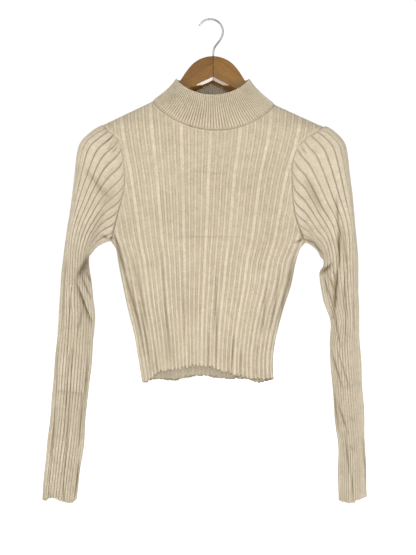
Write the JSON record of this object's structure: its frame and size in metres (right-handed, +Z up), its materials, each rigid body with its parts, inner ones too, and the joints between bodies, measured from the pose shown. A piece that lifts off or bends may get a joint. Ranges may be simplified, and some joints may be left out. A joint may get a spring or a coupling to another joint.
{
  "type": "ribbed mock-neck crop top on a wooden hanger",
  "caption": "Long-sleeved cropped rib-knit top with a fine-ribbed mock neck, hanging on a varnished wooden hanger with a bent wire hook.",
  "frame": {"origin": "inside top of the hook, where it rests on a rail", "axes": "+Z up; the front of the top faces -Y; +X is to the right seen from the front"},
  "size_m": [0.5426, 0.0625, 0.8105],
  "materials": {
    "front_knit": "soft rib knit",
    "back_knit": "soft rib knit",
    "sleeve_left_knit": "soft rib knit",
    "sleeve_right_knit": "soft rib knit",
    "collar_knit": "fine rib knit",
    "hanger_left_wood": "gloss varnish",
    "hanger_right_wood": "gloss varnish",
    "hook_wire": "polished"
  },
  "bodies": {
    "root": {"front": "front_knit", "back": "back_knit", "sleeve_left": "sleeve_left_knit", "sleeve_right": "sleeve_right_knit", "collar": "collar_knit", "hanger_left": "hanger_left_wood", "hanger_right": "hanger_right_wood", "hook": "hook_wire"}
  },
  "joints": []
}
